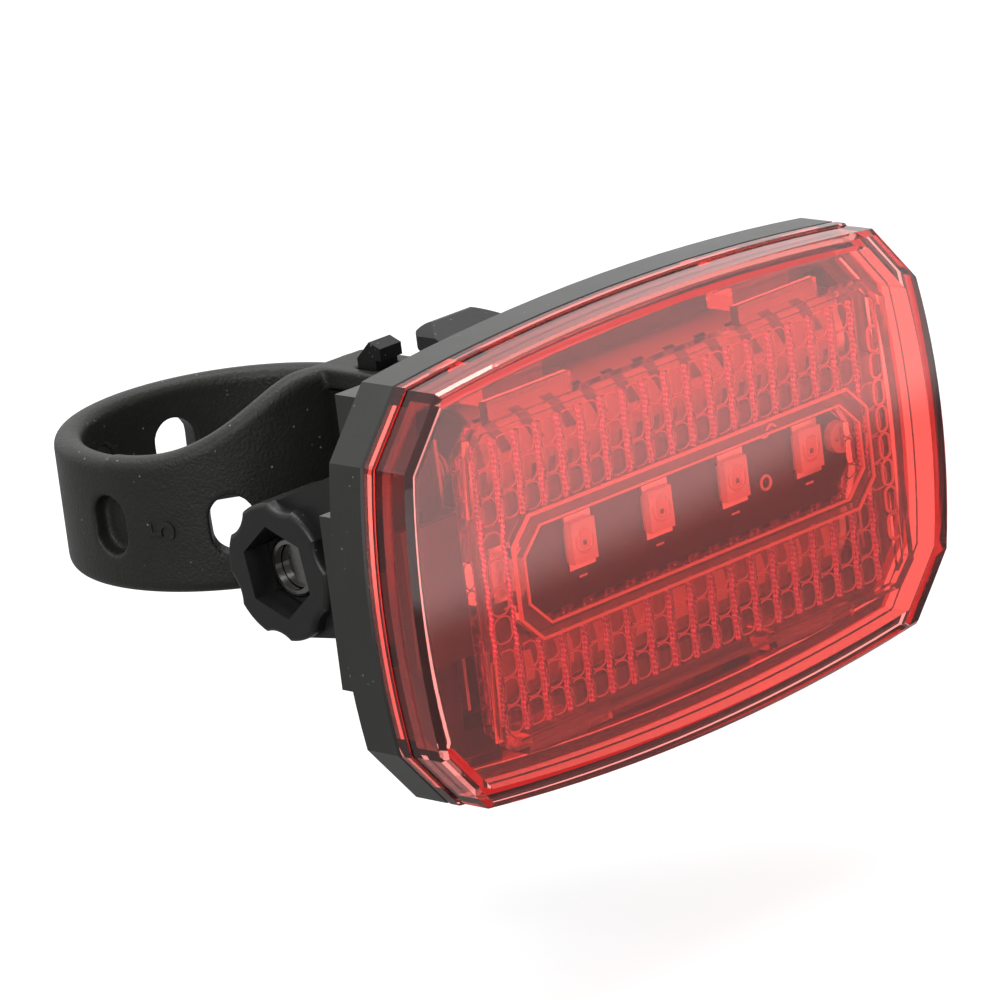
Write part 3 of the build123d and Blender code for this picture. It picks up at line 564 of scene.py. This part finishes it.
def ring_tree():
    # a grid of thin rounded rectangle rings, upright and facing the front
    group, given, made = start_tree("ring_grid", First="Vector", Step="Vector", Count="Int",
                                    Row_Step="Vector", Rows="Int", Width="Float", Height="Float",
                                    Corner="Float", Wire="Float")
    row = add_node(group, "GeometryNodeMeshLine", -600, 300, mode="OFFSET")
    rows = add_node(group, "GeometryNodeMeshLine", -600, 100, mode="OFFSET")
    outline = add_node(group, "GeometryNodeCurvePrimitiveQuadrilateral", -700, -150)
    stand = add_node(group, "GeometryNodeTransform", -500, -150, Rotation=(math.pi / 2, 0, 0))
    bend = add_node(group, "GeometryNodeFilletCurve", -320, -150, mode="POLY", Count=5)
    section = add_node(group, "GeometryNodeCurvePrimitiveCircle", -320, -450, Resolution=5)
    ring = add_node(group, "GeometryNodeCurveToMesh", -80, -150)
    line = add_node(group, "GeometryNodeInstanceOnPoints", 150, 200)
    grid = add_node(group, "GeometryNodeInstanceOnPoints", 400, 100)
    connect(group, (given, "First", row, "Start Location"), (given, "Step", row, "Offset"),
            (given, "Count", row, "Count"), (given, "Row Step", rows, "Offset"),
            (given, "Rows", rows, "Count"), (given, "Width", outline, "Width"),
            (given, "Height", outline, "Height"), (outline, 0, stand, "Geometry"),
            (stand, 0, bend, "Curve"), (given, "Corner", bend, "Radius"),
            (given, "Wire", section, "Radius"), (bend, 0, ring, "Curve"),
            (section, 0, ring, "Profile Curve"), (row, 0, line, "Points"), (ring, 0, line, "Instance"),
            (rows, 0, grid, "Points"), (line, 0, grid, "Instance"))
    finish_tree(group, given, made, grid, 650)
    return group


def grown(group, **values):
    # the plain mesh that a tree makes from these sizes, which are metres where they are lengths
    host = add_object(group.name, bpy.data.meshes.new(group.name))
    grow = host.modifiers.new("grow", "NODES")
    grow.node_group = group
    for item in group.interface.items_tree:
        if item.item_type == "SOCKET" and item.in_out == "INPUT":
            grow[item.identifier] = values[item.name.replace(" ", "_")]
    return evaluated(host)


def joined(name, meshes):
    whole = bmesh.new()
    for part in meshes:
        whole.from_mesh(part)
        bpy.data.meshes.remove(part)
    data = bpy.data.meshes.new(name)
    whole.to_mesh(data)
    whole.free()
    return data


blocks = block_tree()
rings = ring_tree()


def diode_blocks(x, y, z, size, finish):
    # a block at each diode, x and z from the diode's middle
    return grown(blocks, First=((first_led + x) * mm, y * mm, (centre_z + z) * mm),
                 Step=(led_pitch * mm, 0, 0), Count=led_count,
                 Block_Size=tuple(v * mm for v in size), Finish=finish)


def ring_grid(x, y, z, size, corner, wire, finish, step=0.0, count=1, row_step=0.0, rows=1):
    # rings in columns and rows, x and z of the first one's middle from the light's middle
    return grown(rings, First=(x * mm, y * mm, (centre_z + z) * mm), Step=(step * mm, 0, 0),
                 Count=count, Row_Step=(0, 0, row_step * mm), Rows=rows, Width=size[0] * mm,
                 Height=size[1] * mm, Corner=corner * mm, Wire=wire * mm, Finish=finish)


diode_white = moulded("diode_frame", (0.86, 0.84, 0.8), (0.7, 0.62, 0.55), (0.35, 0.5))
white_ink = moulded("board_ink", (0.85, 0.85, 0.82), (0.7, 0.7, 0.66), (0.5, 0.6), drift=0.4)
tin = moulded("solder_tin", (0.8, 0.79, 0.77), (0.6, 0.58, 0.55), (0.25, 0.45), drift=0.6, depth=0.02,
              Metallic=1.0)
bond_dark = moulded("bond_dot", (0.12, 0.06, 0.04), (0.2, 0.1, 0.07), (0.3, 0.4), drift=0.4)
dress(moulded("solder_mask", (0.03, 0.022, 0.02), (0.06, 0.045, 0.04), (0.25, 0.4), grain=0.4),
      "circuit_board")
dress(diode_white, "led_packages")
dress(moulded("diode_gel", (0.8, 0.52, 0.4), (0.7, 0.42, 0.32), (0.12, 0.25), grain=0.4), "led_dies")
dress(moulded("dull_zinc", (0.88, 0.85, 0.8), (0.7, 0.66, 0.6), (0.4, 0.6), drift=0.6, Metallic=0.3),
      "board_screw")
dress(moulded("chip_epoxy", (0.02, 0.02, 0.02), (0.05, 0.05, 0.05), (0.4, 0.6), grain=0.2),
      "controller_chip", "chip_resistors", "tact_switch")
dress(moulded("plunger_white", (0.75, 0.75, 0.72), (0.6, 0.6, 0.56), (0.4, 0.5)), "switch_plunger")
tabs = [diode_blocks(0, board_front - tab_size[1] / 2, side * (led_size[1] + tab_size[2]) / 2, tab_size,
                     tin) for side in (1, -1)]
tabs.append(diode_blocks(-led_size[0] / 2 - side_strip_gap, board_front - side_strip_size[1] / 2, 0,
                         side_strip_size, tin))
new_piece("diode_tabs", joined("diode_tabs", tabs), tin, "housing")
marks = [diode_blocks(dash_aside, board_front - dash_size[1] / 2, -led_size[1] / 2 - dash_drop,
                      dash_size, white_ink)]
marks += [ring_grid(x, board_front - ink_ring_proud, z, ink_ring_size, ink_ring_corner, ink_ring_wire,
                    white_ink) for x, z in ink_rings]
new_piece("board_marks", joined("board_marks", marks), white_ink, "housing")
faces = [ring_grid(first_led, led_face - frame_proud, frame_lift, frame_size, frame_corner, frame_wire,
                   diode_white, step=led_pitch, count=led_count),
         diode_blocks(0, led_face - frame_proud, -frame_bar_drop, frame_bar_size, diode_white)]
new_piece("diode_frames", joined("diode_frames", faces), diode_white, "housing")
dots = diode_blocks(0, led_face - dot_proud, -dot_drop, dot_size, bond_dark)
new_piece("diode_dots", dots, bond_dark, "housing")


# Cells and contacts
# Two slim round cells, steel cans in printed sleeves, lie nub to tail, one above the other.
# Plated contact plates and cone springs at their ends hold them and join them in series.
zinc = moulded("zinc_steel", (0.55, 0.55, 0.56), (0.38, 0.37, 0.36), (0.22, 0.42), grain=0.2, drift=0.7,
               depth=0.008, Metallic=1.0)
cell_steel = moulded("cell_steel", (0.62, 0.61, 0.6), (0.45, 0.43, 0.4), (0.2, 0.4), grain=0.4, drift=0.6,
                     Metallic=1.0)
upper_sleeve = moulded("upper_sleeve", (0.56, 0.39, 0.3), (0.48, 0.31, 0.24), (0.25, 0.4), grain=0.5)
lower_sleeve = moulded("lower_sleeve", (0.13, 0.09, 0.08), (0.62, 0.42, 0.35), (0.25, 0.4), grain=0.5,
                       drift=0.85)


def barred(material, slant, period, share, paint, z0=-1000.0, z1=1000.0):
    # plain bars in millimetres between two heights, or all over: a bar is a share of each
    # period, counted along x plus the slant times z
    tree = material.node_tree
    shader = next(n for n in tree.nodes if n.type == "BSDF_PRINCIPLED")
    where = next(n for n in tree.nodes if n.type == "TEX_COORD")
    ground = shader.inputs["Base Color"].links[0].from_socket
    split = add_node(tree, "ShaderNodeSeparateXYZ", -300, 500)
    turned = add_node(tree, "ShaderNodeMath", -100, 600, operation="MULTIPLY_ADD")
    turned.inputs[1].default_value = slant
    periods = add_node(tree, "ShaderNodeMath", 0, 500, operation="DIVIDE")
    periods.inputs[1].default_value = period * mm
    step = add_node(tree, "ShaderNodeMath", 100, 600, operation="FRACT")
    bar = add_node(tree, "ShaderNodeMath", 250, 600, operation="LESS_THAN")
    bar.inputs[1].default_value = share
    above = add_node(tree, "ShaderNodeMath", 100, 400, operation="GREATER_THAN")
    above.inputs[1].default_value = z0 * mm
    below = add_node(tree, "ShaderNodeMath", 100, 250, operation="LESS_THAN")
    below.inputs[1].default_value = z1 * mm
    between = add_node(tree, "ShaderNodeMath", 250, 350, operation="MULTIPLY")
    printed = add_node(tree, "ShaderNodeMath", 400, 450, operation="MULTIPLY")
    mix = add_node(tree, "ShaderNodeMix", 550, 300, data_type="RGBA")
    mix.inputs[7].default_value = (*paint, 1)
    tree.links.new(ground, mix.inputs[6])
    connect(tree, (where, "Object", split, 0), (split, "Z", turned, 0), (split, "X", turned, 2),
            (turned, 0, periods, 0), (periods, 0, step, 0), (step, 0, bar, 0), (split, "Z", above, 0),
            (split, "Z", below, 0), (above, 0, between, 0), (below, 0, between, 1),
            (bar, 0, printed, 0), (between, 0, printed, 1), (printed, 0, mix, 0),
            (mix, 2, shader, "Base Color"))


barred(upper_sleeve, slant=0.35, period=3.8, share=0.34, paint=(0.02, 0.01, 0.01), z0=12.2, z1=15.0)
barred(upper_sleeve, slant=0.0, period=2.1, share=0.32, paint=(0.04, 0.02, 0.02), z0=8.8, z1=10.4)
barred(lower_sleeve, slant=0.3, period=4.7, share=0.4, paint=(0.95, 0.62, 0.5), z0=-7.8, z1=-4.8)
barred(lower_sleeve, slant=-0.6, period=3.1, share=0.3, paint=(0.85, 0.55, 0.45), z0=-11.2, z1=-9.2)
dress(cell_steel, "upper_cell_can", "lower_cell_can", "upper_cell_cap", "lower_cell_cap")
dress(zinc, "link_contact", "negative_contact", "positive_contact", "contact_springs")
dress(upper_sleeve, "upper_cell_sleeve")
dress(lower_sleeve, "lower_cell_sleeve")


# Prism panel
# A clear moulding fixed behind the lens. Upright twisted ribs, rims of small pillow shaped
# cells and ovals at its right edge spread the light, round a framed window that leaves the
# diodes clear.
panel_front = -53.6
panel_middle = (1.7, -0.4)
panel_half_width = 25.65
window_front = -54.5
window_half = (20.35, 4.1)
window_rim = 1.2
window_corner = 2.2
window_edge = window_half[1] + window_rim
grid_half = 12.5
rib_columns = 20
rib_pitch = 2.55
rib_radius = 0.26
rib_points = 72
rib_sides = 3
twist_length = 1.7
sway = 0.09
first_rib = -(rib_columns - 1) / 2 * rib_pitch
row_pitch = 2.4
rows_each_side = 3
rows_beside = 4
rows_of_ovals = 8
pillow_column = first_rib + rib_pitch / 2
pillow_height = row_pitch - 0.15
pillow_size = (rib_pitch - 0.5, pillow_height)
pillow_corner = 0.8
pillow_wire = 0.09
pillow_proud = 0.02
oval_size = (1.25, pillow_height)
oval_corner = 0.6
oval_wire = 0.15
inner_edge_wire = 0.11
inner_edge_gap = 0.1
outer_edge_wire = 0.13
# sizes and heights of the painted glints on the panel's left rim
end_glint_wire = 0.1
end_glint_proud = 0.5
end_glint_heights = ((6.4, 12.6), (-12.8, -6.2))
end_glint_lean = 0.5
end_glint_top = 0.9
acrylic_ior = 1.49
clear_grain = 1.2
clear_worn = 0.94


def clear_plastic(name, tint, rough, shade_tint, depth, clear):
    # clear moulding that scatters a little; light passes it as tinted shade, not a black shadow
    material = bpy.data.materials.new(name)
    tree = empty_tree(material)
    out = add_node(tree, "ShaderNodeOutputMaterial", 900, 0)
    shader = add_node(tree, "ShaderNodeBsdfPrincipled", 300, 0, IOR=acrylic_ior, Transmission_Weight=clear)
    add_grain(tree, shader, tint, [c * clear_worn for c in tint], rough, clear_grain, drift=0.5, dust=0.0,
              depth=depth, bump_strength=0.6)
    path = add_node(tree, "ShaderNodeLightPath", 300, 400)
    shade = add_node(tree, "ShaderNodeBsdfTransparent", 300, -450, Color=(*shade_tint, 1))
    pick = add_node(tree, "ShaderNodeMixShader", 700, 0)
    connect(tree, (path, "Is Shadow Ray", pick, "Fac"), (shader, 0, pick, 1), (shade, 0, pick, 2),
            (pick, 0, out, "Surface"))
    return material


def rib_tree():
    # a row of ribs whose three sided section twists, each swaying a little with the cell rows
    group, given, made = start_tree("twisted_ribs", First="Vector", Step="Vector", Count="Int",
                                    Run="Vector", Twist_Length="Float", Sway="Float",
                                    Sway_Length="Float", Radius="Float")
    row = add_node(group, "GeometryNodeMeshLine", -600, 200, mode="OFFSET")
    line = add_node(group, "GeometryNodeCurvePrimitiveLine", -700, -100)
    points = add_node(group, "GeometryNodeResampleCurve", -500, -100, Count=rib_points)
    along = add_node(group, "GeometryNodeSplineParameter", -700, -350)
    angles = {}
    for length, y in (("Twist Length", -350), ("Sway Length", -550)):
        turns = add_node(group, "ShaderNodeMath", -500, y, operation="DIVIDE")
        angle = add_node(group, "ShaderNodeMath", -350, y, operation="MULTIPLY")
        angle.inputs[1].default_value = 2 * math.pi
        connect(group, (along, "Length", turns, 0), (given, length, turns, 1), (turns, 0, angle, 0))
        angles[length] = angle
    wave = add_node(group, "ShaderNodeMath", -200, -550, operation="SINE")
    aside = add_node(group, "ShaderNodeMath", -50, -550, operation="MULTIPLY")
    shift = add_node(group, "ShaderNodeCombineXYZ", 100, -550)
    swayed = add_node(group, "GeometryNodeSetPosition", -250, -100)
    twist = add_node(group, "GeometryNodeSetCurveTilt", -50, -100)
    section = add_node(group, "GeometryNodeCurvePrimitiveCircle", -50, -300, Resolution=rib_sides)
    body = add_node(group, "GeometryNodeCurveToMesh", 200, -100, Fill_Caps=True)
    placed = add_node(group, "GeometryNodeInstanceOnPoints", 450, 100)
    connect(group, (given, "First", row, "Start Location"), (given, "Step", row, "Offset"),
            (given, "Count", row, "Count"), (given, "Run", line, "End"), (line, 0, points, "Curve"),
            (angles["Sway Length"], 0, wave, 0), (wave, 0, aside, 0), (given, "Sway", aside, 1),
            (aside, 0, shift, 0), (points, 0, swayed, "Geometry"), (shift, 0, swayed, "Offset"),
            (swayed, 0, twist, "Curve"), (angles["Twist Length"], 0, twist, "Tilt"),
            (given, "Radius", section, "Radius"), (twist, 0, body, "Curve"),
            (section, 0, body, "Profile Curve"), (row, 0, placed, "Points"),
            (body, 0, placed, "Instance"))
    finish_tree(group, given, made, placed, 700)
    return group


def loop_bar(points, y, wire):
    # a thin square bar round a closed outline on the plane at y, its mitres at most twice as long
    ring = bmesh.new()
    rows = []
    for k, (x, z) in enumerate(points):
        run_in = (Vector((x, z)) - Vector(points[k - 1])).normalized()
        run_out = (Vector(points[(k + 1) % len(points)]) - Vector((x, z))).normalized()
        across = Vector((run_in.y + run_out.y, -run_in.x - run_out.x)).normalized()
        reach = wire / max(0.5, across.dot(Vector((run_in.y, -run_in.x))))
        rows.append([ring.verts.new(((x + across.x * u * reach) * mm, (y + v * wire) * mm,
                                     (centre_z + z + across.y * u * reach) * mm))
                     for u, v in ((-1, -1), (1, -1), (1, 1), (-1, 1))])
    for k, row in enumerate(rows):
        after = rows[(k + 1) % len(rows)]
        for j in range(len(row)):
            n = (j + 1) % len(row)
            ring.faces.new((row[j], row[n], after[n], after[j]))
    return from_bmesh("loop_bar", ring)


def window_outline(gap):
    # the window's rectangle with cut corners, grown by a gap
    w = window_half[0] + gap
    h = window_half[1] + gap
    c = window_corner
    flat = ((w, h - c), (w - c, h), (-w + c, h), (-w, h - c), (-w, -h + c), (-w + c, -h), (w - c, -h),
            (w, -h + c))
    return [(panel_middle[0] + x, panel_middle[1] + z) for x, z in flat]


def pillow_rows(x, z, columns, rows, size=pillow_size, corner=pillow_corner, wire=pillow_wire):
    # rims of the small cells, x of the first column and z of the rows' middle on the panel
    first_z = z - (rows - 1) / 2 * row_pitch
    return ring_grid(panel_middle[0] + x, panel_front - pillow_proud, panel_middle[1] + first_z, size,
                     corner, wire, rim_painted_light, step=rib_pitch, count=columns, row_step=row_pitch,
                     rows=rows)


twisted_ribs = rib_tree()
prism_clear = clear_plastic("prism_clear", (1.0, 0.9, 0.88), (0.02, 0.06), (0.95, 0.85, 0.85),
                            depth=0.01, clear=0.982)
# the ribs are clear acrylic; their opaque pink is painted light, standing in for the light refracted
# through them
rib_painted_light = moulded("prism_rib_pink", (0.8, 0.2, 0.8), (0.9, 0.4, 1.0), (0.08, 0.2), grain=0.5, drift=0.7,
                     IOR=acrylic_ior)
# the pale slanted stripes along each rib are painted highlights of its twist
barred(rib_painted_light, slant=1.3, period=0.6, share=0.38, paint=(1.0, 0.95, 1.0))
# the cell rims are the real borders of the clear cells, drawn as thin rings; their pale coral is painted
# light caught in those clear edges
rim_painted_light = moulded("prism_edge_coral", (1.0, 0.6, 0.65), (1.0, 0.85, 0.85), (0.05, 0.15), grain=0.6,
                      drift=0.6, Transmission_Weight=0.5, IOR=acrylic_ior)
# pale bars on real clear edges are painted glints: their colour stands in for light caught by the window
# frame's edges and the ovals' rims
edge_painted_glint = moulded("prism_edge_bright", (0.9, 0.65, 0.55), (1.0, 0.8, 0.7), (0.05, 0.15), grain=0.6,
                     drift=0.6, Transmission_Weight=0.2, IOR=acrylic_ior)
dress(prism_clear, "prism_panel")
rib_runs = []
for first_column, columns, z0, z1 in ((0, rib_columns - 1, window_edge, grid_half),
                                      (0, rib_columns - 1, -grid_half, -window_edge),
                                      (0, 2, -window_edge, window_edge),
                                      (rib_columns - 2, 1, -window_edge, window_edge)):
    x = panel_middle[0] + first_rib + first_column * rib_pitch
    rib_runs.append(grown(twisted_ribs,
                          First=(x * mm, panel_front * mm, (centre_z + panel_middle[1] + z0) * mm),
                          Step=(rib_pitch * mm, 0, 0), Count=columns, Run=(0, 0, (z1 - z0) * mm),
                          Twist_Length=twist_length * mm, Sway=sway * mm, Sway_Length=row_pitch * mm,
                          Radius=rib_radius * mm, Finish=rib_painted_light))
new_piece("prism_columns", joined("prism_columns", rib_runs), rib_painted_light, "lens")
rows_middle = window_edge + rows_each_side / 2 * row_pitch
pillows = [pillow_rows(pillow_column, z, rib_columns - 2, rows_each_side)
           for z in (rows_middle, -rows_middle)]
pillows += [pillow_rows(x, 0, 1, rows_beside) for x in (pillow_column, -pillow_column)]
new_piece("pillow_rims", joined("pillow_rims", pillows), rim_painted_light, "lens")
# the ovals' rims carry painted glints
ovals = pillow_rows(-first_rib, 0, 1, rows_of_ovals, oval_size, oval_corner, oval_wire)
new_piece("edge_ovals", ovals, edge_painted_glint, "lens")
# painted glints along the window frame's inner and outer edges
edges = [loop_bar(window_outline(inner_edge_gap), window_front, inner_edge_wire),
         loop_bar(window_outline(window_rim), window_front, outer_edge_wire)]
# painted glints: two pale leaning bars on the panel's left rim stand in for light caught by its clear edge
x = panel_middle[0] - panel_half_width
for z0, z1 in end_glint_heights:
    outline = [(x, z0), (x + end_glint_lean, z1), (x + end_glint_top, z1), (x + end_glint_lean, z0)]
    edges.append(loop_bar(outline, panel_front - end_glint_proud, end_glint_wire))
new_piece("prism_edges", joined("prism_edges", edges), edge_painted_glint, "lens")


# Lens cover
# The front window, injection moulded in transparent red acrylic and polished outside. Its
# flange lies against the shell over the seal, and the whole cover pulls straight off.
lens_red = clear_plastic("lens_red", (0.97, 0.29, 0.26), (0.0, 0.02), (0.95, 0.37, 0.35), depth=0.004,
                         clear=0.99)
dress(lens_red, "lens_cover")
